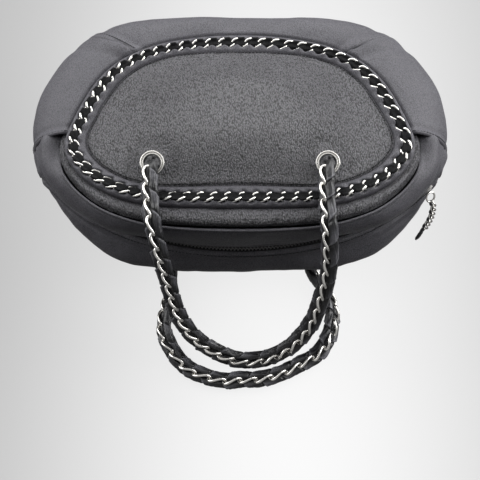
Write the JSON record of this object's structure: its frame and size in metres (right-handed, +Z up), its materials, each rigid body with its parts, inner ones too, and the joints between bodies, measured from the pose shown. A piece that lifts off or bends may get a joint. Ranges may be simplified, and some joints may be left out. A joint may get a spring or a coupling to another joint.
{
  "type": "bowler bag",
  "caption": "Leather bowler bag lying on its back, with chain-trimmed faces, a zip along the top and two leather rope handles laced with chain.",
  "frame": {"origin": "middle of the flat of the rear face, which the bag lies on", "axes": "+Z up from the rear face to the front face, +Y towards the base of the bag, +X to the right seen from the front"},
  "size_m": [0.3806, 0.3237, 0.15],
  "materials": {
    "grained_leather": "pebbled, satin",
    "lace_leather": "soft, satin",
    "silver_metal": "polished",
    "lining_cloth": "woven, matt",
    "zip_tape": "woven, matt",
    "board": "matt fibreboard"
  },
  "bodies": {
    "bag": {"front_panel": "grained_leather", "rear_panel": "grained_leather", "front_yoke": "grained_leather", "rear_yoke": "grained_leather", "front_piping": "grained_leather", "rear_piping": "grained_leather", "top_strip_front": "grained_leather", "top_strip_rear": "grained_leather", "side_panel_left": "grained_leather", "side_panel_right": "grained_leather", "base_panel": "grained_leather", "zip_tab_left": "grained_leather", "zip_tab_right": "grained_leather", "front_trim_lace": "lace_leather", "rear_trim_lace": "lace_leather", "handle_end_front_left": "lace_leather", "handle_end_front_right": "lace_leather", "handle_end_rear_left": "lace_leather", "handle_end_rear_right": "lace_leather", "front_chain_trim": "silver_metal", "rear_chain_trim": "silver_metal", "eyelet_front_left": "silver_metal", "eyelet_front_right": "silver_metal", "eyelet_rear_left": "silver_metal", "eyelet_rear_right": "silver_metal", "washer_front_left": "silver_metal", "washer_front_right": "silver_metal", "washer_rear_left": "silver_metal", "washer_rear_right": "silver_metal", "zip_teeth_front": "silver_metal", "zip_teeth_rear": "silver_metal", "lining": "lining_cloth", "inner_pocket": "lining_cloth", "zip_tape_front": "zip_tape", "zip_tape_rear": "zip_tape", "base_board": "board"},
    "front_handle": {"front_handle_rope": "lace_leather", "front_handle_chain": "silver_metal"},
    "rear_handle": {"rear_handle_rope": "lace_leather", "rear_handle_chain": "silver_metal"},
    "slider": {"zip_slider": "silver_metal"},
    "pull": {"zip_ring": "silver_metal", "zip_pull_chain": "silver_metal", "zip_pull_leather": "lace_leather"}
  },
  "joints": [
    {"name": "front_handle_lift", "type": "hinge", "parent": "bag", "child": "front_handle", "pos_m": [0, -0.05029, 0.14257], "axis": [-1, 0, 0], "range_deg": [0, 155]},
    {"name": "rear_handle_lift", "type": "hinge", "parent": "bag", "child": "rear_handle", "pos_m": [0, -0.05029, 0.00743], "axis": [1, 0, 0], "range_deg": [0, 150]},
    {"name": "zip_slide", "type": "hinge", "parent": "bag", "child": "slider", "pos_m": [0, 0.16399, 0.075], "axis": [0, 0, -1], "range_deg": [0, 76]},
    {"name": "zip_pull_swing", "type": "hinge", "parent": "slider", "child": "pull", "pos_m": [0.17071, -0.05098, 0.075], "axis": [-0.7831, -0.6219, 0], "range_deg": [0, 120]}
  ]
}
